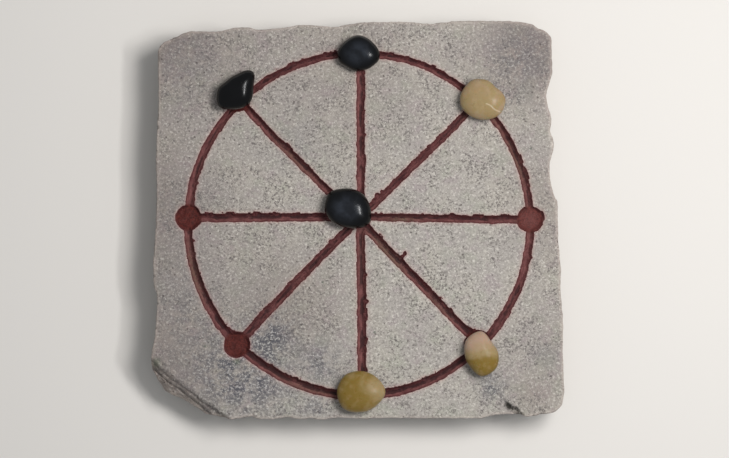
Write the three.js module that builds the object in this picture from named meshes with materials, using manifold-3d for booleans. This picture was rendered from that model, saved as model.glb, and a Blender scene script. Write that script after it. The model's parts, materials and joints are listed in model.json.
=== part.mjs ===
// A stone board for wheel-shaped three-in-a-row, with six pebbles as playing pieces.
// Millimetres, +Z up. The origin is the middle of the slab's underside.

import * as THREE from "three";
import { mergeVertices } from "three/addons/utils/BufferGeometryUtils.js";
import Module from "manifold-3d";

// ---- Slab ----
const SLAB_TOP = 40;

// The hand-split edge seen from above, anticlockwise from the middle of the south side.
const SLAB_OUTLINE = [
  [4, -147.3], [25, -146.5], [50, -147], [91, -146.8], [103, -143.8], [121, -143.7], [124, -145.5],
  [145, -142.6], [151, -138], [153.3, -128], [151.9, -98], [152.4, -75], [150.3, -50], [150.8, -37],
  [148.6, -12], [148.4, 13], [145.2, 20], [142.5, 31.5], [142.2, 43], [145.6, 54], [145.1, 60],
  [142.6, 66], [143.8, 75], [140, 89], [140.1, 95], [144.4, 109], [143.6, 137], [137.5, 141.8],
  [132.3, 143.4], [128.2, 146.4], [122, 147.2], [117, 148.3], [85, 148.6], [70, 148.3], [52, 146.2],
  [35, 147.8], [5, 147.7], [-7, 146.3], [-17, 144], [-41, 145.8], [-57, 143.4], [-74, 141.6],
  [-81, 143.8], [-91, 143.7], [-103, 140.8], [-126, 140.8], [-144.3, 132.4], [-149, 127],
  [-148.3, 90], [-150.4, 45], [-149.6, 28], [-150.4, -5], [-152.4, -30], [-151.9, -49], [-149, -56],
  [-150.8, -84], [-154, -101], [-153.5, -110], [-148.3, -120.5], [-144, -127], [-129, -133.8],
  [-113.5, -143.4], [-95, -147.6], [-87, -146.8], [-79, -145.4], [-74, -147.3], [-63, -147.5],
  [-58, -146.8], [-52, -145.7], [-44, -147.8], [-34, -146.6], [-29, -148], [-22, -147.2],
  [-14, -146.3],
];

// Height up the side, and how far the side stands back from the outline there.
const SIDE_PROFILE = [[0, 2.6], [4, 0.9], [12, 0.0], [22, 0.8], [31, 0.3], [38.4, 0.4], [SLAB_TOP, 1.9]];
const WIDEST_ROW = 2;
const HEWN_RELIEF = 0.8;

// The broken south-west corner: a straight break across the top, stepping down along the stone's layers.
const BREAK_WEST_END = [-154, -100];
const BREAK_SOUTH_END = [-97, -146.6];
const BREAK_OVERRUN = 15;
const BREAK_STEPS = [[0, SLAB_TOP], [2.5, 35], [7, 32.5], [9, 25.5], [14, 22], [16.5, 15], [30, 12]];

// ---- Carved wheel ----
const HUB = [1.8, 3.1];
const RING_CENTRE = [0.8, -2.7];
const RING_RADIUS = 126.7;
const RIM_POINTS = {
  east: [127.4, 0.9],
  north_east: [90.2, 89.2],
  north: [1.7, 123.5],
  north_west: [-88.0, 88.6],
  west: [-125.7, 2.4],
  south_west: [-89.8, -91.6],
  south: [2.7, -128.2],
  south_east: [88.6, -90.6],
};
// How far a spoke passes to the left of the hub, looking outwards along it.
const SPOKE_MISS = {
  east: 0, north_east: 0, north: 0, north_west: 3.0, west: 0, south_west: 0, south: 0, south_east: -2.4,
};
// How far the middle of each spoke strays to the left, looking outwards from the hub.
const SPOKE_BOW = {
  east: -0.6, north_east: -0.4, north: 0, north_west: 0.6,
  west: 0.4, south_west: -0.6, south: 0.3, south_east: -0.4,
};
const RING_HALF_WIDTH = 3.1;
const RING_THINNING = 0.45;
const RING_THINNEST_HEADING = THREE.MathUtils.degToRad(75);
const SPOKE_HALF_WIDTH = {
  east: 3.0, north_east: 2.9, north: 3.1, north_west: 3.0,
  west: 3.2, south_west: 3.3, south: 3.4, south_east: 3.4,
};
const GROOVE_FLOOR_SHARE = 0.45;
const GROOVE_DEPTH = 3;
const POINT_RADIUS = 10;
const NORTH_WEST_POINT_RADIUS = 8;
const HUB_RADIUS = 8.6;
const POINT_FLOOR_SHARE = 0.7;
const POINT_SIDES = 24;
const RING_STEPS = 64;
const STEPS_PER_SPOKE = 4;

// ---- Paint in the carving ----
const PAINT_THICKNESS = 0.4;
const PAINT_GAP = 0.3;

// ---- Pebbles ----
// at: middle, seen from above; bottom: height of the lowest point; height: thickness;
// reach: how far the stone reaches in plan at each eighth of a turn, anticlockwise from east.
const PEBBLES = {
  black_pebble_nw: {
    at: [-91.1, 96.7], bottom: 40.3, height: 16, reach: [13.4, 19.3, 11.4, 9.1, 12.6, 16.6, 14.5, 14.8],
  },
  black_pebble_n: {
    at: [-0.1, 123.4], bottom: 39.3, height: 15, reach: [15.9, 13.2, 13.3, 12.7, 15.2, 13.4, 13.0, 14.6],
  },
  black_pebble_centre: {
    at: [-7.5, 9.4], bottom: 40.2, height: 17, reach: [17.0, 15.3, 14.3, 16.4, 17.4, 14.9, 14.3, 18.8],
  },
  yellow_pebble_ne: {
    at: [93.2, 90.1], bottom: 39.6, height: 16, reach: [15.2, 12.7, 14.2, 16.6, 18.0, 16.8, 15.5, 16.3],
  },
  yellow_pebble_se: {
    at: [90.9, -97.9], bottom: 40.2, height: 16, reach: [12.4, 11.0, 16.2, 15.2, 12.4, 12.6, 16.6, 15.2],
  },
  yellow_pebble_s: {
    at: [2.1, -126], bottom: 39.45, height: 17, reach: [17.8, 15.3, 15.1, 16.7, 17.5, 17.9, 15.1, 15.2],
  },
};
const PEBBLE_SEGMENTS = 28;
const PEBBLE_ROWS = 12;
const PEBBLE_FULLNESS = 0.86;

// ---- Materials ----
const STONE = { color: 0x928986, roughness: 0.95, metalness: 0 };
const PAINT = { color: 0x5f3838, roughness: 0.6, metalness: 0 };
const BLACK_STONE = { color: 0x1c1e21, roughness: 0.18, metalness: 0 };
const YELLOW_STONE = { color: 0xa08c5f, roughness: 0.25, metalness: 0 };

const wasm = await Module();
wasm.setup();

// ---- Solids ----

// A closed geometry through rings of points that share one length, capped flat at both ends.
function loft(rings, closedLoop = false) {
  const sides = rings[0].length;
  const positions = rings.flat().flatMap((p) => [p.x, p.y, p.z]);
  const faces = [];
  const spans = closedLoop ? rings.length : rings.length - 1;
  for (let k = 0; k < spans; k += 1) {
    for (let i = 0; i < sides; i += 1) {
      const next = (i + 1) % sides;
      const low = k * sides;
      const high = ((k + 1) % rings.length) * sides;
      faces.push(low + i, low + next, high + next);
      faces.push(low + i, high + next, high + i);
    }
  }
  if (!closedLoop) {
    const top = (rings.length - 1) * sides;
    for (const [a, b, c] of capFaces(rings[0])) {
      faces.push(c, b, a);
    }
    for (const [a, b, c] of capFaces(rings.at(-1))) {
      faces.push(top + a, top + b, top + c);
    }
  }
  const geometry = new THREE.BufferGeometry();
  geometry.setAttribute("position", new THREE.Float32BufferAttribute(positions, 3));
  geometry.setIndex(faces);
  return geometry;
}

// Triangles that fill a flat ring of points, turning the same way as the ring.
function capFaces(ring) {
  const x = ring[1].clone().sub(ring[0]).normalize();
  const turn = ring.reduce(
    (sum, p, i) => sum.add(p.clone().cross(ring[(i + 1) % ring.length])),
    new THREE.Vector3(),
  );
  const y = turn.normalize().cross(x);
  const flat = ring.map((p) => new THREE.Vector2(p.dot(x), p.dot(y)));
  return THREE.ShapeUtils.triangulateShape(flat, []);
}

// The geometry as a solid that can be joined and cut.
function solid(geometry) {
  const bare = geometry.clone();
  bare.deleteAttribute("normal");
  bare.deleteAttribute("uv");
  const merged = mergeVertices(bare, 1e-4);
  return new wasm.Manifold(
    new wasm.Mesh({
      numProp: 3,
      vertProperties: new Float32Array(merged.attributes.position.array),
      triVerts: new Uint32Array(merged.index.array),
    }),
  );
}

function geometryOf(manifold) {
  const mesh = manifold.getMesh();
  const geometry = new THREE.BufferGeometry();
  geometry.setAttribute("position", new THREE.BufferAttribute(mesh.vertProperties, 3));
  geometry.setIndex(new THREE.BufferAttribute(mesh.triVerts, 1));
  return geometry;
}

function node(name, geometry, material) {
  const flat = geometry.index ? geometry.toNonIndexed() : geometry;
  flat.computeVertexNormals();
  const mesh = new THREE.Mesh(flat, new THREE.MeshStandardMaterial(material));
  mesh.name = name;
  return mesh;
}

// ---- Slab ----

// The outline at one height: each point stands back along the middle of its two edges' normals.
function outlineAt(height, inset, row) {
  const count = SLAB_OUTLINE.length;
  return SLAB_OUTLINE.map(([x, y], i) => {
    const [beforeX, beforeY] = SLAB_OUTLINE[(i + count - 1) % count];
    const [afterX, afterY] = SLAB_OUTLINE[(i + 1) % count];
    const inward = new THREE.Vector2(beforeY - afterY, afterX - beforeX).normalize();
    const hewn = row === WIDEST_ROW ? 0 : HEWN_RELIEF * (1 + Math.sin(2.7 * i + 1.9 * row));
    const back = inset + hewn;
    return new THREE.Vector3(x + inward.x * back, y + inward.y * back, height);
  });
}

// Everything outside the corner's break, as a stepped bar laid along the break line.
function cornerBreak() {
  const west = new THREE.Vector3(...BREAK_WEST_END, 0);
  const south = new THREE.Vector3(...BREAK_SOUTH_END, 0);
  const along = south.clone().sub(west).normalize();
  const outward = new THREE.Vector3(along.y, -along.x, 0);
  if (outward.dot(west) < 0) {
    outward.negate();
  }
  const reach = BREAK_STEPS.at(-1)[0];
  const section = [...BREAK_STEPS, [reach, SLAB_TOP + 5], [0, SLAB_TOP + 5]];
  const ringAt = (end, overrun) =>
    section.map(([out, z]) => {
      const p = end.clone().addScaledVector(along, overrun).addScaledVector(outward, out);
      return p.setZ(z);
    });
  return orientedLoft([ringAt(west, -BREAK_OVERRUN), ringAt(south, BREAK_OVERRUN)]);
}

// A loft as a solid, turned the right way out.
function orientedLoft(rings, closedLoop = false) {
  const made = solid(loft(rings, closedLoop));
  if (made.volume() > 0) {
    return made;
  }
  const reversed = rings.map((ring) => [...ring].reverse());
  return solid(loft(reversed, closedLoop));
}

function slabBlank() {
  const rings = SIDE_PROFILE.map(([height, inset], row) => outlineAt(height, inset, row));
  return orientedLoft(rings).subtract(cornerBreak());
}

// ---- Carved wheel ----

const hub = new THREE.Vector2(...HUB);
const rim = Object.fromEntries(
  Object.entries(RIM_POINTS).map(([name, at]) => [name, new THREE.Vector2(...at)]),
);

// The ring's centre line, anticlockwise.
function ringPath() {
  const centre = new THREE.Vector2(...RING_CENTRE);
  return Array.from({ length: RING_STEPS }, (_, i) => {
    const angle = (2 * Math.PI * i) / RING_STEPS;
    return new THREE.Vector2(Math.cos(angle), Math.sin(angle)).multiplyScalar(RING_RADIUS).add(centre);
  });
}

// The ring is cut thinner on one side than on the other.
function ringHalfWidth(step) {
  const angle = (2 * Math.PI * step) / RING_STEPS;
  return RING_HALF_WIDTH - RING_THINNING * Math.cos(angle - RING_THINNEST_HEADING);
}

// A spoke's centre line: a shallow arc from beside the hub to a rim point.
function spokePath(name) {
  const heading = rim[name].clone().sub(hub).normalize();
  const left = new THREE.Vector2(-heading.y, heading.x);
  const start = hub.clone().addScaledVector(left, SPOKE_MISS[name]);
  const path = [];
  for (let k = 0; k <= STEPS_PER_SPOKE; k += 1) {
    const t = k / STEPS_PER_SPOKE;
    const bow = SPOKE_BOW[name] * 4 * t * (1 - t);
    path.push(start.clone().lerp(rim[name], t).addScaledVector(left, bow));
  }
  return path;
}

// A channel's solid: a cross-section that is wider at the top, swept level along a path.
function channel(path, closedLoop, cutAt) {
  const rings = path.map((p, i) => {
    const cut = cutAt(i);
    const before = closedLoop ? path.at(i - 1) : path[Math.max(i - 1, 0)];
    const after = closedLoop ? path[(i + 1) % path.length] : path[Math.min(i + 1, path.length - 1)];
    const along = after.clone().sub(before).normalize();
    const across = new THREE.Vector2(along.y, -along.x);
    const section = [
      [-cut.floorHalfWidth, cut.floor],
      [cut.floorHalfWidth, cut.floor],
      [cut.topHalfWidth, cut.top],
      [-cut.topHalfWidth, cut.top],
    ];
    return section.map(
      ([side, z]) => new THREE.Vector3(p.x + across.x * side, p.y + across.y * side, z),
    );
  });
  return orientedLoft(rings, closedLoop);
}

// A point's solid: a shallow round dish with a flat floor.
function dish(centre, cut) {
  const profile = [
    new THREE.Vector2(0, cut.floor),
    new THREE.Vector2(cut.floorHalfWidth, cut.floor),
    new THREE.Vector2(cut.topHalfWidth, cut.top),
    new THREE.Vector2(0, cut.top),
  ];
  const geometry = new THREE.LatheGeometry(profile, POINT_SIDES);
  geometry.rotateX(Math.PI / 2);
  geometry.translate(centre.x, centre.y, 0);
  return solid(geometry);
}

// The cross-section of a cut that is halfWidth wide at the slab's top, shrunk by a margin on every side.
function crossSection(halfWidth, floorShare, margin, top) {
  const floorHalfWidth = halfWidth * floorShare;
  const slope = (halfWidth - floorHalfWidth) / GROOVE_DEPTH;
  return {
    floorHalfWidth: floorHalfWidth - margin * 0.5,
    floor: SLAB_TOP - GROOVE_DEPTH + margin,
    topHalfWidth: halfWidth + slope * (top - SLAB_TOP) - margin * 1.3,
    top,
  };
}

// The whole wheel as one solid, up to a given height, shrunk by a margin.
function wheel(margin, top) {
  const groove = (halfWidth) => crossSection(halfWidth, GROOVE_FLOOR_SHARE, margin, top);
  const point = (radius) => crossSection(radius, POINT_FLOOR_SHARE, margin, top);
  let made = channel(ringPath(), true, (i) => groove(ringHalfWidth(i)));
  made = made.add(dish(hub, point(HUB_RADIUS)));
  for (const name of Object.keys(rim)) {
    made = made.add(channel(spokePath(name), false, () => groove(SPOKE_HALF_WIDTH[name])));
    const radius = name === "north_west" ? NORTH_WEST_POINT_RADIUS : POINT_RADIUS;
    made = made.add(dish(rim[name], point(radius)));
  }
  return made;
}

function slab() {
  return slabBlank().subtract(wheel(0, SLAB_TOP + 1));
}

// The paint lies in the carving as one thin lining.
function paint() {
  const outside = wheel(PAINT_GAP, SLAB_TOP - 0.2);
  const inside = wheel(PAINT_GAP + PAINT_THICKNESS, SLAB_TOP + 1);
  return outside.subtract(inside);
}

// ---- Pebbles ----

// A smooth waterworn stone: rows of one rounded plan shape, drawn in towards the top and bottom.
function pebble({ at, bottom, height, reach }) {
  const corners = reach.map((r, i) => {
    const angle = (2 * Math.PI * i) / reach.length;
    return new THREE.Vector3(r * Math.cos(angle), r * Math.sin(angle), 0);
  });
  const plan = new THREE.CatmullRomCurve3(corners, true, "catmullrom", 0.5);
  const positions = [];
  const pointOn = (row, segment) => {
    const rise = -Math.PI / 2 + (Math.PI * row) / PEBBLE_ROWS;
    const drawnIn = Math.cos(rise) ** PEBBLE_FULLNESS;
    const edge = plan.getPoint(segment / PEBBLE_SEGMENTS);
    return [edge.x * drawnIn, edge.y * drawnIn, (height / 2) * (1 + Math.sin(rise))];
  };
  positions.push(...pointOn(0, 0));
  for (let row = 1; row < PEBBLE_ROWS; row += 1) {
    for (let segment = 0; segment < PEBBLE_SEGMENTS; segment += 1) {
      positions.push(...pointOn(row, segment));
    }
  }
  positions.push(...pointOn(PEBBLE_ROWS, 0));
  const geometry = new THREE.BufferGeometry();
  geometry.setAttribute("position", new THREE.Float32BufferAttribute(positions, 3));
  geometry.setIndex(pebbleFaces());
  geometry.translate(at[0], at[1], bottom);
  return geometry;
}

function pebbleFaces() {
  const last = 1 + (PEBBLE_ROWS - 1) * PEBBLE_SEGMENTS;
  const index = (row, segment) => 1 + (row - 1) * PEBBLE_SEGMENTS + (segment % PEBBLE_SEGMENTS);
  const faces = [];
  for (let i = 0; i < PEBBLE_SEGMENTS; i += 1) {
    faces.push(0, index(1, i + 1), index(1, i));
    for (let row = 1; row < PEBBLE_ROWS - 1; row += 1) {
      faces.push(index(row, i), index(row, i + 1), index(row + 1, i + 1));
      faces.push(index(row, i), index(row + 1, i + 1), index(row + 1, i));
    }
    faces.push(index(PEBBLE_ROWS - 1, i), index(PEBBLE_ROWS - 1, i + 1), last);
  }
  return faces;
}

// ---- Assembly ----
const board = new THREE.Group();
board.name = "three_in_a_row_board";
board.add(node("stone_slab", geometryOf(slab()), STONE));
board.add(node("groove_paint", geometryOf(paint()), PAINT));
for (const [name, shape] of Object.entries(PEBBLES)) {
  const material = name.startsWith("black") ? BLACK_STONE : YELLOW_STONE;
  board.add(node(name, pebble(shape), material));
}

export default board;
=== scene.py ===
"""The looks of a stone board for wheel-shaped three-in-a-row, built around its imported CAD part.

Every length is in metres, in the part's own frame: +Z up, the origin at the middle of the slab's
underside.
"""

import json
import math

import bmesh
import bpy
import numpy as np
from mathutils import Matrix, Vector, noise
from mathutils.bvhtree import BVHTree
from mathutils.geometry import delaunay_2d_cdt
from mathutils.kdtree import KDTree


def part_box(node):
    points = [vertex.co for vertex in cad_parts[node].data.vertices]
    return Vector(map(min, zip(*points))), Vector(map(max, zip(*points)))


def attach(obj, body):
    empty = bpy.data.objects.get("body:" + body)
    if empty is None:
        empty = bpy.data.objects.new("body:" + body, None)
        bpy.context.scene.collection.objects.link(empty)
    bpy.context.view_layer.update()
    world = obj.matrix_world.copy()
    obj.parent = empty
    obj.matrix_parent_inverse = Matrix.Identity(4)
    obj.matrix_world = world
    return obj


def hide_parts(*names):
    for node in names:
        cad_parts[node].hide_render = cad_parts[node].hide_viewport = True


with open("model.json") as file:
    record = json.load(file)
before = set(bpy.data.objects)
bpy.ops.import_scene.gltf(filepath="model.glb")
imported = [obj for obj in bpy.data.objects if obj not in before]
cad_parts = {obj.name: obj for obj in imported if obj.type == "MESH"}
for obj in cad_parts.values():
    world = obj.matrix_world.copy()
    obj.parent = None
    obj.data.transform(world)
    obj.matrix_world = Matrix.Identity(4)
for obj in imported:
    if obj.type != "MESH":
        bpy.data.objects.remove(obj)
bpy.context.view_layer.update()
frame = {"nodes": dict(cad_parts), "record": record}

MM = 0.001


def srgb(red, green, blue):
    """A colour given as 0 to 255 on screen, as the linear RGBA that shaders take."""
    def linear(c):
        c /= 255
        return c / 12.92 if c <= 0.04045 else ((c + 0.055) / 1.055) ** 2.4
    return (linear(red), linear(green), linear(blue), 1.0)


# ---- Camera: straight above the board, framing it as the photograph does ----
CAMERA_HEIGHT = 2300 * MM
CAMERA_AIM = (4.7 * MM, -6.1 * MM)
VIEW_WIDTH = 539.5 * MM
SENSOR_WIDTH = 36

# ---- Slab mesh ----
FINE_STEP = 0.7 * MM
EDGE_BAND = 7 * MM
CARVING_BAND = 2.2 * MM
SIDE_STEP = 1.4 * MM
OUTLINE_STEP = 5 * MM
SIDE_LEVELS = 28
UNDERSIDE_STEP = 9 * MM

# ---- Slab top and its upper edge ----
TOP_WAVE = 0.3 * MM
TOP_GRAIN = 0.05 * MM
ARRIS_INSET = 0.3 * MM
ARRIS_NIBBLE = 0.8 * MM
ARRIS_DROP = 0.5 * MM
ARRIS_WIDTH = 0.9 * MM
SPALL_DROP = 1.6 * MM
SPALL_WIDTH = 4 * MM

# ---- Split sides: scoops knocked out of the face, and the stone's thin level layers ----
SCOOPS = 220
SCOOP_HALF_LENGTH = (5 * MM, 22 * MM)
SCOOP_HALF_HEIGHT = (4 * MM, 15 * MM)
SCOOP_DEPTH = (1.5 * MM, 4.6 * MM)
LAYER_RELIEF = 0.9 * MM
SIDE_GRAIN = 0.35 * MM
SIDE_SETBACK = 0.8 * MM
SIDE_LEAN = 1.2 * MM
SCOOPS_START_BELOW = 3.5 * MM
FOOT_UNDERCUT = 2.0 * MM
FOOT_HEIGHT = 3 * MM

# ---- Carving ----
CARVED_DEPTH = 3.0 * MM
CARVED_HALF_WIDTH = 3.1 * MM
STEEP_WALL_WIDTH = 2.3 * MM
GENTLE_WALL_WIDTH = 3.5 * MM
WALL_CURVE = 1.5
TOOL_MARKS = 0.35 * MM
LIP_DROP = 0.1 * MM
LIP_WIDTH = 0.7 * MM
LINE_WANDER = 0.45 * MM
LINE_NARROWING = 0.3 * MM
EDGE_WAVER = 0.35 * MM
EDGE_CHIP = 1.1 * MM
CRUMB_SHARE = 0.35
# Which way the steep walls and the chipped edges face, seen from the middle of a line.
STEEP_SIDE = np.array((0.3, 0.95))
CHIPPED_SIDE = np.array((0.6, 0.8))
# Single bites out of the lines' edges: place and radius in millimetres.
BITES = [
    ((34.6, -24.3), 1.4),
    ((33.2, -26.2), 1.1),
    ((31.6, -27.8), 1.8),
    ((14.3, 18.5), 2.2),
    ((17.5, 21.5), 1.3),
    ((-20.2, -15.5), 1.8),
    ((6.2, -59.7), 1.4),
]

# ---- Paint ----
PAINT_COAT = 0.08 * MM
PAINT_OVERLAP = 0.25 * MM
PAINT_EDGE_WAVER = 0.4 * MM
PAINT_THINNING = 0.3
PAINT_DIVE = 0.3 * MM
PAINT_REACH = 1.6 * MM
PAINT_SKIN = 0.5 * MM
DISH_RADIUS = 10 * MM
# Each painted dish: its middle, and how dark a red it is.
DISHES = [
    ((127.4, 0.9), 1),
    ((90.2, 89.2), 0.9),
    ((1.7, 123.5), 0.9),
    ((-88, 88.6), 0.9),
    ((-125.7, 2.4), 1),
    ((-89.8, -91.6), 0.95),
    ((2.7, -128.2), 0.9),
    ((88.6, -90.6), 0.9),
]

# ---- Broken corner: its upper edge, and how far the break drops at each distance out from it ----
BREAK_ENDS = (np.array((-154, -100)) * MM, np.array((-97, -146.6)) * MM)
BREAK_OUT = np.array((-0.6, 0.4, 3, 4.2, 5, 9.5, 11, 15, 17.5, 30)) * MM
BREAK_DROP = np.array((0, 2.6, 3.6, 7.5, 6.2, 9, 14, 17, 24, 28)) * MM
BREAK_WANDER = 2.2 * MM
BREAK_BOW = 3 * MM
BREAK_ROUGHNESS = 0.8 * MM
# How far out from the break's upper edge the clefts with painted shade lie.
CREVICES = (0.6 * MM, 5 * MM)
CREVICE_WIDTH = 0.7 * MM

# ---- A small wedge missing from the south edge, with painted shade in it ----
NOTCH_ENDS = (np.array((110.5, -136.5)) * MM, np.array((120, -143.5)) * MM)
NOTCH_HALF_WIDTH = 2.4 * MM
NOTCH_DEPTH = 3.5 * MM
NOTCH_RAGGEDNESS = 1.3 * MM

# ---- Marks on the slab and its paint ----
# Blue-grey weathering on the slab: place in millimetres, how far it spreads, and how strong it is.
STAINS = [
    ((-66, -86), 19, 1),
    ((-90, -118), 24, 1),
    ((-26, -106), 16, 0.8),
    ((120, 120), 26, 0.6),
    ((-128, 118), 34, 0.4),
    ((99, -123), 11, 0.9),
    ((138, -98), 13, 0.35),
    ((-48, 62), 20, 0.3),
    ((-132, 10), 26, 0.3),
    ((-112, -98), 34, 0.45),
    ((-134, -52), 28, 0.35),
    ((-60, -128), 22, 0.5),
    ((-30, -137), 12, 0.6),
]
# Broad darker areas, mostly towards the left side and the corners: partly the stone darkened with age,
# partly painted shade where the lamp's light falls off.
DULL_AND_SHADED_AREAS = [
    ((-150, 150), 66, 1),
    ((-152, -110), 64, 0.85),
    ((-155, 10), 60, 0.8),
    ((135, 130), 50, 1),
    ((140, 20), 34, 0.5),
    ((-50, -60), 42, 0.6),
    ((-10, 120), 70, 0.5),
    ((150, -100), 50, 0.35),
    ((152, -20), 30, 0.3),
    ((129, -130), 14, 0.45),
]
# Greenish growth at the broken corner.
MOSS = [((-150, -105), 3.5), ((-90, -104), 2.5)]
# Where the paint is paler: mostly grey-brown dirt lying on it, and in one place a painted highlight.
DUST_AND_SHEEN_ON_LINES = [
    ((24, -22), 17, 1),
    ((33, 0), 9, 0.7),
    ((60, -62), 14, 0.5),
    ((-44, 46), 22, 0.6),
    ((-122, -40), 22, 0.7),
    ((-40, -132), 26, 0.5),
    ((100, 78), 20, 0.5),
    # Partly dirt, partly a painted highlight: the paler middle of the ring between the north-east
    # pebble and the east dish.
    ((119, 42), 20, 0.6),
    ((127.4, 0.9), 9, 1),
]

# ---- Pebbles ----
PEBBLE_DETAIL = 6
PEBBLE_SMOOTHING = 14
PEBBLE_DENTS = 0.012
PEBBLE_DENT_SIZE = 13 * MM
# Shallow swellings and hollows round a pebble's rim: heading in degrees, and how much further it
# reaches there.
SWELLS = {
    "black_pebble_centre": [(-25, 0.08), (142, 0.07)],
    "black_pebble_nw": [(22, -0.05), (66, 0.1), (235, 0.05)],
    "black_pebble_n": [(205, 0.08), (262, 0.06), (340, 0.07)],
    "yellow_pebble_ne": [(45, -0.07), (112, 0.05), (200, 0.05)],
}
SWELL_SPREAD = 16
# How much of its CAD box a pebble fills each way.
PEBBLE_FILL = np.array((1.015, 1.015, 1))
# How the yellow pebbles' colour runs across them: tone at one side, tone at the other, and the way
# it runs in degrees from +X. 0 is pinkish cream, 0.5 tan and 1 olive.
TONES = {
    "yellow_pebble_ne": (0.4, 0.4, 0),
    "yellow_pebble_se": (-0.45, 1.75, -80),
    "yellow_pebble_s": (1.1, 0.62, 12),
}
# How strongly each black pebble's crown shows a painted blue-grey sheen, a painted reflection.
CROWNS = {
    "black_pebble_nw": 0.02,
    "black_pebble_n": 0.75,
    "black_pebble_centre": 0.9,
}
# A healed crack, from and to, measured from the pebble's middle.
CRACKED_PEBBLE = "yellow_pebble_ne"
CRACK_ENDS = (np.array((2.5, -3.5)) * MM, np.array((12.5, -9.5)) * MM)
CRACK_HALF_WIDTH = 0.3 * MM
CRACK_BEND = 0.3 * MM

# ---- Colours ----
STONE = {
    "cool": srgb(160, 155, 149),
    "warm": srgb(167, 162, 153),
    "mauve": srgb(152, 139, 141),
    "green": srgb(152, 154, 140),
    "dull_and_shade": srgb(115, 102, 99),
    "split": srgb(142, 130, 121),
    "seam": srgb(66, 56, 50),
    "crevice_shade": srgb(54, 46, 41),
    "dark_grain": srgb(103, 98, 95),
    "bright_grain": srgb(204, 199, 190),
    "stain": srgb(80, 80, 86),
    "stain_fleck": srgb(190, 190, 189),
    "moss": srgb(98, 110, 86),
    "lichen": srgb(84, 92, 82),
    "rubbed_paint": srgb(184, 142, 136),
    # Pale painted highlight for the rolled upper edge.
    "painted_edge_highlight": srgb(192, 178, 168),
    "pit": srgb(84, 77, 73),
    # Dark painted shade for the notch.
    "notch_shade": srgb(44, 42, 38),
}
PAINT = {
    "maroon": srgb(92, 54, 54),
    "pale_maroon": srgb(124, 80, 78),
    "dust_and_sheen": srgb(106, 88, 74),
    "shade": srgb(54, 27, 29),
    "pale_shade": srgb(78, 37, 38),
    "crease_shade": srgb(40, 22, 23),
    "dish": srgb(60, 24, 21),
    "pale_dish": srgb(90, 40, 35),
    "dish_shade": srgb(62, 28, 28),
    "dish_dust": srgb(136, 90, 86),
    # Darker edge red: partly the paint's own, partly painted shade.
    "rim": srgb(70, 28, 30),
    "worn": srgb(50, 27, 27),
}
PEBBLE = {
    "black": srgb(5, 5, 6),
    # Painted reflection colour for the black pebbles' crowns.
    "black_sheen": srgb(42, 46, 53),
    "cream": srgb(160, 135, 116),
    "tan": srgb(143, 124, 87),
    "olive": srgb(119, 97, 42),
    "cloud": srgb(178, 158, 126),
    "fleck": srgb(112, 90, 58),
    "crack": srgb(214, 200, 176),
}

# ---- Studio ----
FLOOR_COLOUR = srgb(214, 211, 206)
WORLD_COLOUR = (0.93, 0.96, 1.0, 1)
WORLD_STRENGTH = 0.3
LAMP_COLOUR = (1, 0.98, 0.97)
GLINT_COLOUR = (1, 1, 1)
FLOOR_RADIUS = 6

slab_node = frame["nodes"]["stone_slab"]
SLAB_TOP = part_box("stone_slab")[1].z


# ---------------------------------------------------------------- small tools


def smoothstep(x, low, high):
    """0 below low, 1 above high, and smooth between, for an array or a number."""
    t = np.clip((x - low) / (high - low), 0, 1)
    return t * t * (3 - 2 * t)


def fractal(points, size, seed, octaves=3):
    """Noise of about -1 to 1 at each point, with features about size across."""
    shift = Vector((seed * 7.31, seed * 3.17, seed * 1.93))
    return np.array(
        [noise.fractal(Vector(p) / size + shift, 1.0, 2.0, octaves) for p in points]
    )


def with_height(points, height):
    """2-D points as 3-D ones at one height."""
    return np.column_stack([points, np.full(len(points), height)])


def mesh_object(name, vertices, faces):
    mesh = bpy.data.meshes.new(name)
    mesh.from_pydata([tuple(v) for v in vertices], [], [tuple(map(int, f)) for f in faces])
    mesh.validate()
    mesh.shade_smooth()
    made = bpy.data.objects.new(name, mesh)
    bpy.context.scene.collection.objects.link(made)
    return made


def set_float_attribute(obj, name, values):
    attribute = obj.data.attributes.new(name, "FLOAT", "POINT")
    attribute.data.foreach_set("value", np.asarray(values, np.float32))


# ---------------------------------------------------------------- camera and light


def make_camera():
    data = bpy.data.cameras.new("camera")
    data.sensor_width = SENSOR_WIDTH
    data.lens = SENSOR_WIDTH * (CAMERA_HEIGHT - SLAB_TOP) / VIEW_WIDTH
    camera = bpy.data.objects.new("camera", data)
    camera.location = (*CAMERA_AIM, CAMERA_HEIGHT)
    bpy.context.scene.collection.objects.link(camera)
    bpy.context.scene.camera = camera


def area_light(name, azimuth, elevation, distance, size, power, colour):
    """A rectangular light that looks at the board. Azimuth is measured from +X towards +Y."""
    data = bpy.data.lights.new(name, "AREA")
    data.shape = "RECTANGLE"
    data.size, data.size_y = size
    data.energy = power
    data.color = colour
    light = bpy.data.objects.new(name, data)
    a, e = math.radians(azimuth), math.radians(elevation)
    away = Vector((math.cos(a) * math.cos(e), math.sin(a) * math.cos(e), math.sin(e)))
    light.location = away * distance
    light.rotation_mode = "QUATERNION"
    light.rotation_quaternion = away.to_track_quat("Z", "Y")
    bpy.context.scene.collection.objects.link(light)
    return light


def make_world():
    world = bpy.data.worlds.new("studio")
    world.use_nodes = True
    background = world.node_tree.nodes["Background"]
    background.inputs["Color"].default_value = WORLD_COLOUR
    background.inputs["Strength"].default_value = WORLD_STRENGTH
    bpy.context.scene.world = world
    bpy.context.scene.view_settings.view_transform = "Standard"


# ---------------------------------------------------------------- the CAD slab, read back


def welded_mesh(obj):
    """The object's vertices with doubles merged, and its triangles on them."""
    mesh = obj.data
    mesh.calc_loop_triangles()
    raw = np.array([v.co for v in mesh.vertices])
    triangles = np.array([t.vertices for t in mesh.loop_triangles])
    points, index = np.unique(np.round(raw, 6), axis=0, return_inverse=True)
    return points, index.reshape(-1)[triangles]


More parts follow.
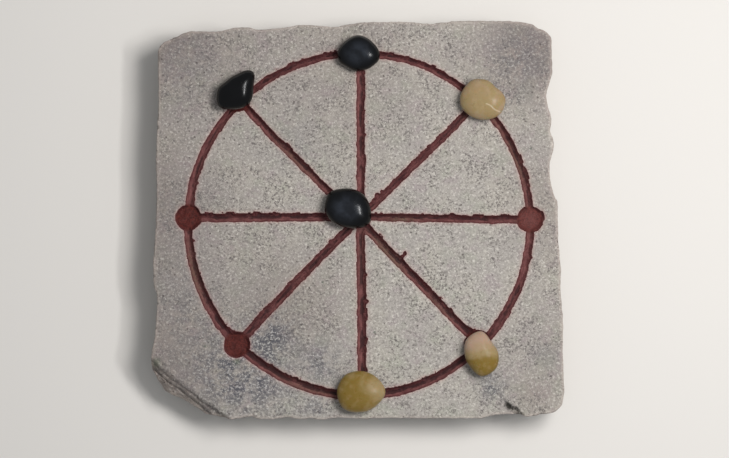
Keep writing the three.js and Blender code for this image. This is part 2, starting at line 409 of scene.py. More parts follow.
def line_samples(points, edges, step):
    """Points at most step apart along each edge."""
    made = []
    for a, b in edges:
        count = max(1, math.ceil(np.linalg.norm(points[b] - points[a]) / step))
        shares = np.linspace(0, 1, count + 1)[:, None]
        made.append(points[a] + (points[b] - points[a]) * shares)
    return np.concatenate(made)


def point_tree(points):
    tree = KDTree(len(points))
    for i, p in enumerate(points):
        tree.insert(p, i)
    tree.balance()
    return tree


def in_wheel(points):
    """Which points are within the carved wheel's outer edge, or just outside it."""
    low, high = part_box("groove_paint")
    centre = np.array((low + high) / 2)[:2]
    reach = max(high.x - low.x, high.y - low.y) / 2 + 3 * MM
    return np.linalg.norm(points[..., :2] - centre, axis=-1) < reach


def cad_carving_edges(points, triangles):
    """Samples along the upper edges of the CAD slab's carved lines and dishes."""
    flat_top = triangles[(points[triangles][:, :, 2] > SLAB_TOP - 1e-5).all(1)]
    pairs = np.sort(np.concatenate([flat_top[:, [0, 1]], flat_top[:, [1, 2]], flat_top[:, [2, 0]]]))
    edges, uses = np.unique(pairs, axis=0, return_counts=True)
    rim = edges[uses == 1]
    return line_samples(points, rim[in_wheel(points[rim]).all(1)], 0.25 * MM)


def cad_outline(points):
    """The CAD slab's widest row of side vertices, anticlockwise."""
    widest = points[np.argmax(points[:, 0])][2]
    row = points[np.abs(points[:, 2] - widest) < 1e-5]
    order = np.argsort(np.arctan2(row[:, 1], row[:, 0]))
    return row[order][:, :2]


slab_points, slab_triangles = welded_mesh(slab_node)
slab_surface = BVHTree.FromPolygons(slab_points.tolist(), slab_triangles.tolist())
carving_tree = point_tree(cad_carving_edges(slab_points, slab_triangles))


def cad_height(points):
    """The CAD slab's upper surface at each point, or the slab's top where the point is off it."""
    heights = []
    for x, y in points:
        hit = slab_surface.ray_cast(Vector((x, y, 1)), Vector((0, 0, -1)))[0]
        heights.append(SLAB_TOP if hit is None else hit.z)
    return np.array(heights)


# ---------------------------------------------------------------- carved lines


def carving_distance(points):
    """How far each point is outside the hand-cut carving (negative inside), and the way out of it.

    The CAD's straight edges are made to wander, waver and chip, most of all on the chipped side.
    """
    flat = with_height(points, SLAB_TOP)
    wander = np.column_stack([fractal(flat, 26 * MM, seed, octaves=2) for seed in (1, 2)])
    strayed = points + LINE_WANDER * wander
    inside = (cad_height(strayed) < SLAB_TOP - 0.05 * MM) & in_wheel(strayed)
    nearest = [carving_tree.find((x, y, SLAB_TOP)) for x, y in strayed]
    distance = np.array([d for _, _, d in nearest])
    feet = np.array([(p.x, p.y) for p, _, _ in nearest])
    sign = np.where(inside, -1.0, 1.0)
    out = (strayed - feet) * sign[:, None] / np.maximum(distance, 1e-7)[:, None]
    waver = EDGE_WAVER * fractal(flat, 8 * MM, seed=3)
    distance = sign * distance + LINE_NARROWING + waver - chipping(flat, out)
    for (x, y), radius in BITES:
        off = np.linalg.norm(points - np.array((x, y)) * MM, axis=1)
        distance = np.minimum(distance, off - radius * MM + 0.8 * waver)
    return distance, out


def chipping(flat, out):
    """How far the lines' edges have chipped back: small nicks, and stretches of finer crumbs."""
    ragged = 0.35 + 0.65 * smoothstep(out @ CHIPPED_SIDE, -0.1, 0.5)
    nicks = smoothstep(fractal(flat, 6 * MM, seed=4), 0.16, 0.42)
    crumbled = smoothstep(fractal(flat, 17 * MM, seed=19, octaves=2), -0.2, 0.3)
    crumbs = smoothstep(fractal(flat, 2.4 * MM, seed=15, octaves=2), 0.0, 0.35)
    return EDGE_CHIP * ragged * np.maximum(nicks, CRUMB_SHARE * crumbled * crumbs)


def carved_depth(points, distance, out):
    """Depth of the carving: a tool held at a slant leaves one wall steep and the other gentle."""
    into = np.maximum(-distance, 0)
    steep = smoothstep(out @ STEEP_SIDE, -0.6, 0.8)
    wall_width = GENTLE_WALL_WIDTH + (STEEP_WALL_WIDTH - GENTLE_WALL_WIDTH) * steep
    wall = 1 - (1 - np.clip(into / wall_width, 0, 1)) ** WALL_CURVE
    roughness = fractal(with_height(points, 0), 3.5 * MM, seed=16, octaves=4)
    marks = TOOL_MARKS * roughness * smoothstep(into, 0, 1.2 * MM)
    rounding = LIP_DROP * np.exp(-((distance / LIP_WIDTH) ** 2))
    return CARVED_DEPTH * wall + marks + rounding


def notch_distance(points):
    """How far each point is from the middle line of the wedge missing from the south edge."""
    start, end = NOTCH_ENDS
    along = np.clip((points - start) @ (end - start) / np.sum((end - start) ** 2), 0, 1)
    ragged = NOTCH_RAGGEDNESS * fractal(with_height(points, 0), 4 * MM, seed=18)
    foot = start + along[:, None] * (end - start)
    return np.abs(np.linalg.norm(points - foot, axis=1) + ragged)


# ---------------------------------------------------------------- slab mesh


def resample_ring(ring, step):
    """Points about step apart round a closed ring."""
    closed = np.vstack([ring, ring[:1]])
    lengths = np.linalg.norm(np.diff(closed, axis=0), axis=1)
    along = np.concatenate([[0], np.cumsum(lengths)])
    count = round(along[-1] / step)
    places = np.linspace(0, along[-1], count, endpoint=False)
    return np.column_stack([np.interp(places, along, closed[:, k]) for k in (0, 1)])


def rounded_ring(ring, steps=8):
    """A smooth closed curve through the ring's points (Catmull-Rom)."""
    t = np.linspace(0, 1, steps, endpoint=False)[None, :, None]
    before, start, end, after = [np.roll(ring, shift, axis=0)[:, None] for shift in (1, 0, -1, -2)]
    curve = 2 * start + (end - before) * t
    curve = curve + (2 * before - 5 * start + 4 * end - after) * t**2
    curve = curve + (3 * start - 3 * end + after - before) * t**3
    return (curve / 2).reshape(-1, 2)


def ring_inward(ring, reach=3):
    """Unit vectors into the ring, from each point's neighbours reach places away."""
    along = np.roll(ring, -reach, axis=0) - np.roll(ring, reach, axis=0)
    inward = np.column_stack([-along[:, 1], along[:, 0]])
    return inward / np.linalg.norm(inward, axis=1)[:, None]


def triangular_grid(low, high, step):
    """Grid points in rows, with each point's row and column."""
    rows = np.arange(math.floor(low[1] / (step * 0.866)), math.ceil(high[1] / (step * 0.866)))
    columns = np.arange(math.floor(low[0] / step), math.ceil(high[0] / step))
    column, row = [a.ravel() for a in np.meshgrid(columns, rows)]
    points = np.column_stack([column * step + (row % 2) * step / 2, row * step * 0.866])
    return points, row, column


def inside_ring(points, ring):
    """Which points are inside a closed ring."""
    inside = np.zeros(len(points), bool)
    x, y = points[:, 0], points[:, 1]
    for (ax, ay), (bx, by) in zip(ring, np.roll(ring, -1, axis=0)):
        crosses = (ay > y) != (by > y)
        if crosses.any():
            at = ax + (y[crosses] - ay) * (bx - ax) / (by - ay)
            inside[crosses] ^= x[crosses] < at
    return inside


def top_points(ring, ring_tree):
    """Points for the slab's upper surface, close together on the carving and edges only."""
    points, row, column = triangular_grid(ring.min(0), ring.max(0), FINE_STEP)
    kept = inside_ring(points, ring)
    points, row, column = points[kept], row[kept], column[kept]
    edge = np.array([ring_tree.find((x, y, 0))[2] for x, y in points])
    broken = break_depth(points) > 0
    notch = notch_distance(points) < 2 * NOTCH_HALF_WIDTH
    coarse = (row % 4 == 0) & (column % 4 == 0)
    middle = (row % 2 == 0) & (column % 2 == 0)
    distance, out = carving_distance(points)
    fine = np.abs(distance + CARVED_HALF_WIDTH) < CARVED_HALF_WIDTH + CARVING_BAND
    dish = distance < -CARVED_HALF_WIDTH
    wanted = fine | notch | ((dish | (edge < EDGE_BAND) | broken) & middle) | coarse
    wanted &= edge > 0.5 * FINE_STEP
    points, distance, out = points[wanted], distance[wanted], out[wanted]
    snapped = np.abs(distance) < 0.45 * FINE_STEP
    points[snapped] -= (distance[:, None] * out)[snapped]
    cell = np.round(points / (0.5 * FINE_STEP)).astype(int)
    _, first = np.unique(cell, axis=0, return_index=True)
    return points[np.sort(first)]


def triangulate(ring, points):
    """Triangles over the inside of a ring.

    Returns the points used, the triangles, and where the ring's points are.
    """
    everything = [Vector(p) for p in ring] + [Vector(p) for p in points]
    made = delaunay_2d_cdt(everything, [], [list(range(len(ring)))], 1, 1e-7)
    used = np.array([tuple(p) for p in made[0]])
    place = {}
    for i, sources in enumerate(made[3]):
        for source in sources:
            place[source] = i
    return used, np.array(made[2]), [place[i] for i in range(len(ring))]


def break_share(points):
    """How far along the break each point is: 0 at its west end and 1 at its south end."""
    start, end = BREAK_ENDS
    return (points - start) @ (end - start) / np.sum((end - start) ** 2)


def break_distance(points):
    """How far each point is out from the broken corner's ragged, bowed upper edge."""
    start, end = BREAK_ENDS
    along = (end - start) / np.linalg.norm(end - start)
    outward = np.array((along[1], -along[0]))
    share = np.clip(break_share(points), 0, 1)
    bow = BREAK_BOW * 4 * share * (1 - share)
    wander = BREAK_WANDER * fractal(with_height(points, 0), 15 * MM, seed=8, octaves=4)
    return (points - start) @ outward - bow + wander


def break_depth(points):
    """How far the broken corner has dropped below the top, in ragged steps."""
    return np.interp(break_distance(points), BREAK_OUT, BREAK_DROP)


def crevices(points):
    """Painted shade in the clefts where the break's layers part, deeper in some places than in others.
    """
    out = break_distance(points)
    patchy = fractal(with_height(points, 0), 16 * MM, seed=21, octaves=2)
    deep = 0.3 + 0.7 * smoothstep(patchy, -0.25, 0.3)
    deep *= smoothstep(break_share(points), 0.05, 0.25)
    return deep * np.max([np.exp(-(((out - at) / CREVICE_WIDTH) ** 2)) for at in CREVICES], axis=0)


def surface_height(points, distance, out, edge):
    """The slab's upper surface: worn flat, carved, rolled off at its edge, broken at one corner."""
    flat = with_height(points, 0)
    wave = TOP_WAVE * (0.5 + 0.5 * fractal(flat, 60 * MM, seed=5))
    grain = TOP_GRAIN * fractal(flat, 3 * MM, seed=6, octaves=2)
    spall = smoothstep(fractal(flat, 14 * MM, seed=7), 0.2, 0.5)
    roll = ARRIS_DROP * np.exp(-edge / ARRIS_WIDTH)
    roll += SPALL_DROP * spall * (1 - smoothstep(edge, 0, SPALL_WIDTH))
    below = break_depth(points)
    roughness = BREAK_ROUGHNESS * fractal(flat, 4 * MM, seed=10, octaves=4)
    rough = smoothstep(below, 0, 3 * MM) * roughness
    notch = NOTCH_DEPTH * (1 - smoothstep(notch_distance(points), 0, NOTCH_HALF_WIDTH))
    carved = carved_depth(points, distance, out)
    return SLAB_TOP - np.abs(wave) - carved - roll - below + grain + rough - notch


def scooped(along, height, length):
    """How far scoops knocked out of the side face cut into it, with sharp ridges left between them."""
    rng = np.random.default_rng(11)
    deepest = np.zeros(len(along))
    for _ in range(SCOOPS):
        middle = rng.uniform(0, length)
        level = rng.uniform(-4 * MM, SLAB_TOP + 4 * MM)
        half_length = rng.uniform(*SCOOP_HALF_LENGTH)
        half_height = rng.uniform(*SCOOP_HALF_HEIGHT)
        depth = rng.uniform(*SCOOP_DEPTH)
        aside = (along - middle + length / 2) % length - length / 2
        share = (aside / half_length) ** 2 + ((height - level) / half_height) ** 2
        deepest = np.maximum(deepest, depth * (1 - share))
    return deepest


def side_rings(outline, upper, inward):
    """Rings down the split side, from the upper edge to the underside."""
    steps = np.linalg.norm(np.roll(outline, -1, axis=0) - outline, axis=1)
    along = np.concatenate([[0], np.cumsum(steps[:-1])])
    leaning = 0.5 + 0.5 * fractal(with_height(outline, 0), 70 * MM, seed=17, octaves=2)
    rings = []
    for level in range(1, SIDE_LEVELS + 1):
        share = level / SIDE_LEVELS
        height = upper[:, 2] * (1 - share)
        place = np.column_stack([outline, height])
        scoops = scooped(along, height, steps.sum())
        layers = LAYER_RELIEF * np.abs(fractal(place * (1, 1, 7), 34 * MM, seed=12, octaves=4))
        grain = SIDE_GRAIN * (0.5 + 0.5 * fractal(place, 4 * MM, seed=13))
        lean = SIDE_SETBACK + SIDE_LEAN * leaning * share
        below_edge = smoothstep(upper[:, 2] - height, 0, SCOOPS_START_BELOW)
        under = FOOT_UNDERCUT * (1 - smoothstep(height, 0, FOOT_HEIGHT))
        depth = (scoops + layers + lean) * below_edge + grain + under
        rings.append(np.column_stack([outline + inward * depth[:, None], height]))
    return rings


def quads_between(above, below):
    """Faces that join one ring of vertex numbers to the next ring down."""
    count = len(above)
    faces = []
    for i in range(count):
        after = (i + 1) % count
        faces.append([above[i], below[i], below[after], above[after]])
    return faces


def underside(foot, above, first):
    """Points and faces that close the slab's underside.

    above has the vertex numbers of the lowest ring, and the underside's own points start at first.
    """
    grid, _, _ = triangular_grid(foot.min(0), foot.max(0), UNDERSIDE_STEP)
    foot_tree = point_tree(with_height(foot, 0))
    clear = [foot_tree.find((x, y, 0))[2] > UNDERSIDE_STEP / 2 for x, y in grid]
    grid = grid[inside_ring(grid, foot) & np.array(clear)]
    points, faces, foot_place = triangulate(foot, grid)
    index = np.arange(len(points)) + first
    index[foot_place] = above
    return with_height(points, 0), index[faces][:, ::-1].tolist()


def side_and_underside(outline, inward, upper, ring_place, first):
    """Points and faces down the split side from the upper edge, and across the underside.

    ring_place has the upper edge's vertex numbers, and the points made here start at first.
    """
    rings = side_rings(outline, upper, inward)
    above = ring_place
    faces = []
    for ring in rings:
        below = list(range(first, first + len(ring)))
        faces.extend(quads_between(above, below))
        first += len(ring)
        above = below
    under, under_faces = underside(rings[-1][:, :2], above, first)
    return [*rings, under], faces + under_faces


def without_loose(vertices, faces):
    """The vertices that the faces use, the faces on them, and which vertices were kept."""
    kept = np.unique(np.concatenate([np.ravel(f) for f in faces]))
    place = np.full(len(vertices), -1)
    place[kept] = np.arange(len(kept))
    return vertices[kept], [place[f].tolist() for f in faces], kept


def make_slab():
    """The slab, and what make_paint needs to lay the paint over its carving."""
    even_outline = resample_ring(cad_outline(slab_points), OUTLINE_STEP)
    outline = resample_ring(rounded_ring(even_outline), SIDE_STEP)
    inward = ring_inward(outline)
    nibbled = fractal(with_height(outline, 0), 5 * MM, seed=14, octaves=4)
    nibble = ARRIS_NIBBLE * (0.4 + 0.6 * nibbled)
    upper_ring = outline + inward * (ARRIS_INSET + nibble)[:, None]
    ring_tree = point_tree(with_height(upper_ring, 0))
    used, top_faces, ring_place = triangulate(upper_ring, top_points(upper_ring, ring_tree))
    distance, out = carving_distance(used)
    edge = np.array([ring_tree.find((x, y, 0))[2] for x, y in used])
    height = surface_height(used, distance, out, edge)
    top = np.column_stack([used, height])
    lower, lower_faces = side_and_underside(outline, inward, top[ring_place], ring_place, len(used))
    faces = top_faces.tolist() + lower_faces

    vertices, faces, kept = without_loose(np.concatenate([top, *lower]), faces)
    slab = mesh_object("slab_stone", vertices, faces)
    on_top = kept < len(used)
    for name, values in top_marks(used, distance, edge).items():
        spread = np.zeros(len(vertices))
        spread[on_top] = values[kept[on_top]]
        set_float_attribute(slab, name, spread)
    set_float_attribute(slab, "split_face", ~on_top)
    return slab, (used, top_faces, distance, out, height)


def spots(points, places):
    """Soft round spots: place and spread in millimetres, and an optional strength."""
    amount = np.zeros(len(points))
    for (x, y), spread, *strength in places:
        away = np.linalg.norm(points - np.array((x, y)) * MM, axis=1)
        amount += np.exp(-((away / (spread * MM)) ** 2)) * (strength[0] if strength else 1)
    return np.clip(amount, 0, 1)


def top_marks(points, distance, edge):
    """Where the slab's top is stained, darker (age and painted shade), mossy, broken or paint-tinted,
    with painted shade in the notch and clefts and a painted highlight on its edge.
    """
    return {
        "stain": spots(points, STAINS),
        "dull_and_shade": spots(points, DULL_AND_SHADED_AREAS),
        "moss": spots(points, MOSS),
        # Painted shade in the notch.
        "notch_shade": np.exp(-((notch_distance(points) / NOTCH_HALF_WIDTH) ** 2)),
        "broken": smoothstep(break_depth(points), 0.3 * MM, 2 * MM),
        "crevice_shade": crevices(points),
        "painted_edge_highlight": np.exp(-((edge / (1.5 * MM)) ** 2)),
        "tint": np.exp(-np.maximum(distance, 0) / (0.9 * MM)),
    }


def dish_redness(points):
    """How much each point has the dishes' own darker red."""
    redness = np.zeros(len(points))
    for middle, strength in DISHES:
        away = np.linalg.norm(points - np.array(middle) * MM, axis=1)
        inside = 1 - smoothstep(away, 0.85 * DISH_RADIUS, 1.1 * DISH_RADIUS)
        redness = np.maximum(redness, strength * inside)
    return redness


def closed_skin(over, faces, thickness):
    """Points and faces of a thin closed skin: the sheet given, a copy below it, and a rim between."""
    count = len(over)
    under = over - (0, 0, thickness)
    pairs = np.concatenate([faces[:, [0, 1]], faces[:, [1, 2]], faces[:, [2, 0]]])
    _, first, uses = np.unique(np.sort(pairs), axis=0, return_index=True, return_counts=True)
    rim = pairs[first[uses == 1]]
    closed = faces.tolist() + (faces[:, ::-1] + count).tolist()
    closed += [[b, a, a + count, b + count] for a, b in rim]
    return np.vstack([over, under]), closed


def make_paint(top):
    """The paint: a thin closed skin over the carving that dives under the stone at its edge."""
    used, faces, distance, out, height = top
    waver = PAINT_EDGE_WAVER * fractal(with_height(used, 0), 3 * MM, seed=20)
    cover = PAINT_OVERLAP - distance + waver
    coat = np.clip(PAINT_THINNING * cover, -PAINT_DIVE, PAINT_COAT)
    kept = faces[(distance[faces] < PAINT_REACH).all(1)]
    places, index = np.unique(kept, return_inverse=True)
    over = np.column_stack([used[places], (height + coat)[places]])
    paint = mesh_object("carving_paint", *closed_skin(over, index.reshape(-1, 3), PAINT_SKIN))
    marks = {
        "into": -distance[places],
        "dish": dish_redness(used[places]),
        "dust_and_sheen": spots(used[places], DUST_AND_SHEEN_ON_LINES),
        # Painted shade on the steep wall, the side turned away from the key light.
        "shaded": smoothstep(out[places] @ STEEP_SIDE, -0.2, 0.9),
    }
    for name, values in marks.items():
        set_float_attribute(paint, name, np.tile(values, 2))
    return paint


# ---------------------------------------------------------------- pebbles


def make_pebble(name, seed):
    """A CAD pebble's shape on a fine even mesh, smoothed, with a few dents."""
    low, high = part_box(name)
    centre = (low + high) / 2
    half = (high - low) / 2
    points, triangles = welded_mesh(frame["nodes"][name])
    surface = BVHTree.FromPolygons(points.tolist(), triangles.tolist())
    bm = bmesh.new()
    bmesh.ops.create_icosphere(bm, subdivisions=PEBBLE_DETAIL, radius=1)
    directions = np.array([v.co * half for v in bm.verts])
    edges = np.array([(e.verts[0].index, e.verts[1].index) for e in bm.edges])
    faces = [[v.index for v in f.verts] for f in bm.faces]
    bm.free()
    scale = np.array([hit_share(surface, centre, Vector(d)) for d in directions])
    scale = smooth_values(scale, edges, PEBBLE_SMOOTHING)
    scale *= 1 + PEBBLE_DENTS * fractal(directions, PEBBLE_DENT_SIZE, seed, octaves=2)
    heading = np.degrees(np.arctan2(directions[:, 1], directions[:, 0]))
    level = 1 - np.abs(directions[:, 2]) / half.z
    for middle, share in SWELLS.get(name, []):
        aside = (heading - middle + 180) % 360 - 180
        scale *= 1 + share * level * np.exp(-((aside / SWELL_SPREAD) ** 2))
    places = directions * scale[:, None]
    reached = (places.max(0) - places.min(0)) / 2 / PEBBLE_FILL
    places = (places - (places.max(0) + places.min(0)) / 2) * np.array(half) / reached
    return mesh_object(name + "_look", np.array(centre) + places, faces)


def hit_share(surface, centre, direction):
    """How many times direction reaches from the centre to the surface."""
    hit = surface.ray_cast(centre, direction.normalized())
    return hit[3] / direction.length


def smooth_values(values, edges, rounds):
    """Each value drawn towards the mean of its neighbours', a number of times."""
    degree = np.bincount(edges.ravel(), minlength=len(values))
    for _ in range(rounds):
        total = np.bincount(edges[:, 0], values[edges[:, 1]], len(values))
        total += np.bincount(edges[:, 1], values[edges[:, 0]], len(values))
        values = 0.5 * values + 0.5 * total / degree
    return values


# ---------------------------------------------------------------- materials


class Shader:
    """A material's node tree, with short ways to add nodes."""

    def __init__(self, name):
        self.material = bpy.data.materials.new(name)
        self.material.use_nodes = True
        self.tree = self.material.node_tree
        self.surface = self.tree.nodes["Principled BSDF"]
        self.place = self.add("ShaderNodeTexCoord").outputs["Object"]

    def add(self, kind, **settings):
        node = self.tree.nodes.new(kind)
        for key, value in settings.items():
            setattr(node, key, value)
        return node

    def link(self, source, target):
        self.tree.links.new(source, target)

    def noise(self, size, detail=3, roughness=0.5, distortion=0):
        """Noise of about 0 to 1, with features about size across."""
        node = self.add("ShaderNodeTexNoise")
        node.inputs["Scale"].default_value = 1 / size
        node.inputs["Detail"].default_value = detail
        node.inputs["Roughness"].default_value = roughness
        node.inputs["Distortion"].default_value = distortion
        self.link(self.place, node.inputs["Vector"])
        return node.outputs["Fac"]

    def stretched_noise(self, size, share):
        """Noise drawn out level: size up and down, and size / share across."""
        mapping = self.add("ShaderNodeMapping")
        mapping.inputs["Scale"].default_value = (share, share, 1)
        self.link(self.place, mapping.inputs["Vector"])
        node = self.add("ShaderNodeTexNoise")
        node.inputs["Scale"].default_value = 1 / size
        node.inputs["Detail"].default_value = 4
        self.link(mapping.outputs["Vector"], node.inputs["Vector"])
        return node.outputs["Fac"]

    def streaks(self, across, width, length):
        """Noise drawn out along a carved line, given how far each place is in from the line's edge."""
        place = self.add("ShaderNodeSeparateXYZ")
        self.link(self.place, place.inputs["Vector"])
        joined = self.add("ShaderNodeCombineXYZ")
        self.link(self.math("DIVIDE", across, width), joined.inputs["X"])
        self.link(self.math("DIVIDE", place.outputs["X"], length), joined.inputs["Y"])
        self.link(self.math("DIVIDE", place.outputs["Y"], length), joined.inputs["Z"])
        node = self.add("ShaderNodeTexNoise")
        node.inputs["Scale"].default_value = 1
        self.link(joined.outputs["Vector"], node.inputs["Vector"])
        return node.outputs["Fac"]

    def cells(self, size):
        """Distance inside cells about size across."""
        node = self.add("ShaderNodeTexVoronoi")
        node.inputs["Scale"].default_value = 1 / size
        self.link(self.place, node.inputs["Vector"])
        return node.outputs["Distance"]

    def remap(self, value, low, high, to_low=0.0, to_high=1.0):
        """value from low to high, as to_low to to_high, smooth and held at both ends."""
        node = self.add("ShaderNodeMapRange", interpolation_type="SMOOTHSTEP")
        node.inputs["From Min"].default_value = low
        node.inputs["From Max"].default_value = high
        node.inputs["To Min"].default_value = to_low
        node.inputs["To Max"].default_value = to_high
        self.link(value, node.inputs["Value"])
        return node.outputs["Result"]

    def math(self, operation, a, b):
        node = self.add("ShaderNodeMath", operation=operation)
        for socket, value in zip(node.inputs, (a, b)):
            if isinstance(value, (int, float)):
                socket.default_value = value
            else:
                self.link(value, socket)
        return node.outputs["Value"]

    def mix(self, factor, a, b):
        """Colour a, turning to b as factor goes to 1."""
        node = self.add("ShaderNodeMix", data_type="RGBA")
        for socket, value in ((node.inputs[0], factor), (node.inputs[6], a), (node.inputs[7], b)):
            if isinstance(value, (tuple, int, float)):
                socket.default_value = value
            else:
                self.link(value, socket)
        return node.outputs[2]

    def over(self, colour, coat, cover, strength):
        """A coat laid over a colour as cover goes to 1, at the given strength."""
        return self.mix(self.math("MULTIPLY", cover, strength), colour, coat)

    def attribute(self, name):
        return self.add("ShaderNodeAttribute", attribute_name=name).outputs["Fac"]

    def bump(self, height, depth):
        """Relief of the given depth on the surface."""
        node = self.add("ShaderNodeBump")
        node.inputs["Distance"].default_value = depth
        self.link(height, node.inputs["Height"])
        self.link(node.outputs["Normal"], self.surface.inputs["Normal"])

    def set(self, values):
        """Sets the surface's own sockets to plain values."""
        for socket, value in values.items():
            self.surface.inputs[socket].default_value = value


def stone_ground(s):
    """The stone's own soft colours, darker in broad areas: partly aged stone, partly painted shade."""
    warm = s.remap(s.noise(30 * MM, 5, 0.6), 0.38, 0.62)
    mauve = s.remap(s.noise(13 * MM, 5, 0.65, 0.4), 0.5, 0.68)
    green = s.remap(s.noise(19 * MM, 4, 0.6), 0.5, 0.68)
    colour = s.mix(warm, STONE["cool"], STONE["warm"])
    colour = s.over(colour, STONE["mauve"], mauve, 0.5)
    colour = s.over(colour, STONE["green"], green, 0.5)
    # Broad darker areas: partly the stone's age, partly painted shade of the light falling off.
    return s.over(colour, STONE["dull_and_shade"], s.attribute("dull_and_shade"), 0.74)


def split_stone(s, colour):
    """Browner stone with dark level seams, on the split sides and in the broken corner."""
    bare = s.math("MAXIMUM", s.attribute("split_face"), s.attribute("broken"))
    from_seam = s.math("ABSOLUTE", s.math("SUBTRACT", s.stretched_noise(3 * MM, 0.1), 0.5), 0)
    seams = s.math("MULTIPLY", s.remap(from_seam, 0, 0.03, 1, 0), 0.6)
    colour = s.over(colour, STONE["split"], bare, 0.45)
    colour = s.mix(s.math("MULTIPLY", bare, seams), colour, STONE["seam"])
    # Painted shade in the clefts of the broken corner.
    return s.over(colour, STONE["crevice_shade"], s.attribute("crevice_shade"), 0.85)


def speckled_stone(s, colour, grain):
    """Dark grains, crowded in places, and bright ones, fainter in the broad darker areas of age and
    painted shade.
    """
    crowding = s.remap(s.noise(16 * MM, 4, 0.65), 0.42, 0.6, 0.4, 1.0)
    dark = s.math("MULTIPLY", s.remap(grain, 0.47, 0.6), crowding)
    bright = s.remap(s.noise(1.8 * MM, 3, 0.8, 0.3), 0.52, 0.66)
    bright = s.math("MULTIPLY", bright, s.remap(s.attribute("dull_and_shade"), 0, 1, 0.72, 0.4))
    colour = s.mix(dark, colour, STONE["dark_grain"])
    return s.mix(bright, colour, STONE["bright_grain"])


def stained_stone(s, colour):
    """Speckled blue-grey stains, growth, and paint rubbed into the stone beside the lines."""
    patches = s.remap(s.noise(9 * MM, 5, 0.7), 0.34, 0.56)
    specks = s.noise(2.1 * MM, 3, 0.9)
    stain = s.math("MULTIPLY", s.attribute("stain"), patches)
    dark = s.math("MULTIPLY", stain, s.remap(specks, 0.43, 0.53, 0.25, 0.95))
    pale = s.math("MULTIPLY", stain, s.remap(specks, 0.46, 0.4, 0, 0.6))
    lichen = s.remap(s.cells(24 * MM), 0.02, 0.06, 1, 0)
    colour = s.mix(dark, colour, STONE["stain"])
    colour = s.mix(pale, colour, STONE["stain_fleck"])
    colour = s.over(colour, STONE["moss"], s.attribute("moss"), 0.5)
    colour = s.over(colour, STONE["lichen"], lichen, 0.7)
    return s.over(colour, STONE["rubbed_paint"], s.attribute("tint"), 0.5)


def stone_material():
    """Speckled stone: weathered on top, split on the sides, with small pits."""
    s = Shader("slab_stone")
    grain = s.noise(1.7 * MM, 3, 0.8)
    pits = s.remap(s.cells(6 * MM), 0.07, 0.15, 1, 0)
    patchy_notch_shade = s.remap(s.noise(4 * MM, 4, 0.7), 0.4, 0.55, 0.25, 1)
    colour = split_stone(s, stone_ground(s))
    colour = stained_stone(s, speckled_stone(s, colour, grain))
    # Painted highlight along the slab's rolled upper edge.
    colour = s.over(colour, STONE["painted_edge_highlight"], s.attribute("painted_edge_highlight"), 0.4)
    colour = s.over(colour, STONE["pit"], pits, 0.6)
    # Painted shade in the notch, broken into patches.
    colour = s.mix(s.math("MULTIPLY", s.attribute("notch_shade"), patchy_notch_shade), colour, STONE["notch_shade"])
    s.link(colour, s.surface.inputs["Base Color"])
    s.set({"Roughness": 0.92, "Specular IOR Level": 0.25})
    relief = s.math("ADD", s.math("MULTIPLY", grain, -0.9), s.math("MULTIPLY", pits, -0.8))
    relief = s.math("ADD", relief, s.math("MULTIPLY", s.noise(5 * MM, 4, 0.6), 0.7))
    s.bump(relief, 0.45 * MM)
    return s.material


def line_paint(s, into, shaded, streaks):
    """Worn paint in the lines: streaked, with grey-brown dirt and a painted highlight in places, and
    painted shade on the steep walls and along the groove bottom.
    """
    blotch = s.math("ADD", s.noise(6 * MM, 5, 0.65), s.math("MULTIPLY", streaks, 0.6))
    blotch = s.remap(blotch, 0.62, 0.98)
    gritty = s.remap(s.noise(2.4 * MM, 4, 0.7), 0.4, 0.6, 0.4, 1)
    broken_up = s.remap(s.noise(12 * MM, 3), 0.42, 0.55)
    # Painted shade along the groove bottom, broken into patches.
    crease_shade = s.math("MULTIPLY", s.remap(into, 1.7 * MM, 2.5 * MM), broken_up)
    colour = s.mix(blotch, PAINT["maroon"], PAINT["pale_maroon"])
    # Paler dirt on the paint, and in one place a painted highlight.
    colour = s.mix(s.math("MULTIPLY", s.attribute("dust_and_sheen"), gritty), colour, PAINT["dust_and_sheen"])
    # Painted shade on the steep wall turned away from the key light.
    dark = s.mix(blotch, PAINT["shade"], PAINT["pale_shade"])
    colour = s.over(colour, dark, shaded, 0.85)
    return s.over(colour, PAINT["crease_shade"], crease_shade, 0.8)


def dish_paint(s, into, shaded):
    """The dishes' darker red, with brush marks, and painted shade on the wall turned from the key
    light.
    """
    brushed = s.remap(s.noise(2.8 * MM, 4, 0.7, 2.5), 0.38, 0.6)
    shade = s.math("MULTIPLY", shaded, s.remap(into, 3 * MM, 1 * MM, 0, 0.6))
    colour = s.mix(brushed, PAINT["dish"], PAINT["pale_dish"])
    colour = s.mix(shade, colour, PAINT["dish_shade"])
    return s.over(colour, PAINT["dish_dust"], s.attribute("dust_and_sheen"), 0.3)


def paint_material():
    """Old maroon paint, brushed along the lines and worn thin at their edges."""
    s = Shader("maroon_paint")
    into = s.attribute("into")
    shaded = s.attribute("shaded")
    streaks = s.streaks(into, 0.5 * MM, 9 * MM)
    rim = s.remap(into, 0, 1.2 * MM, 1, 0)
    worn = s.remap(s.noise(1.9 * MM, 3, 0.75), 0.52, 0.68)
    lines = line_paint(s, into, shaded, streaks)
    colour = s.mix(s.attribute("dish"), lines, dish_paint(s, into, shaded))
    # Darker red at the lines' edges: partly the paint's own darker edge, partly painted shade on the
    # upper walls.
    colour = s.over(colour, PAINT["rim"], rim, 0.75)
    colour = s.over(colour, PAINT["worn"], worn, 0.5)
    s.link(colour, s.surface.inputs["Base Color"])
    rough = s.remap(s.noise(3 * MM, 3, 0.6), 0.3, 0.7, 0.5, 0.8)
    s.link(rough, s.surface.inputs["Roughness"])
    s.set({"Specular IOR Level": 0.3})
    s.bump(s.math("ADD", s.noise(1.4 * MM, 4, 0.6), s.math("MULTIPLY", streaks, 0.8)), 0.45 * MM)
    return s.material


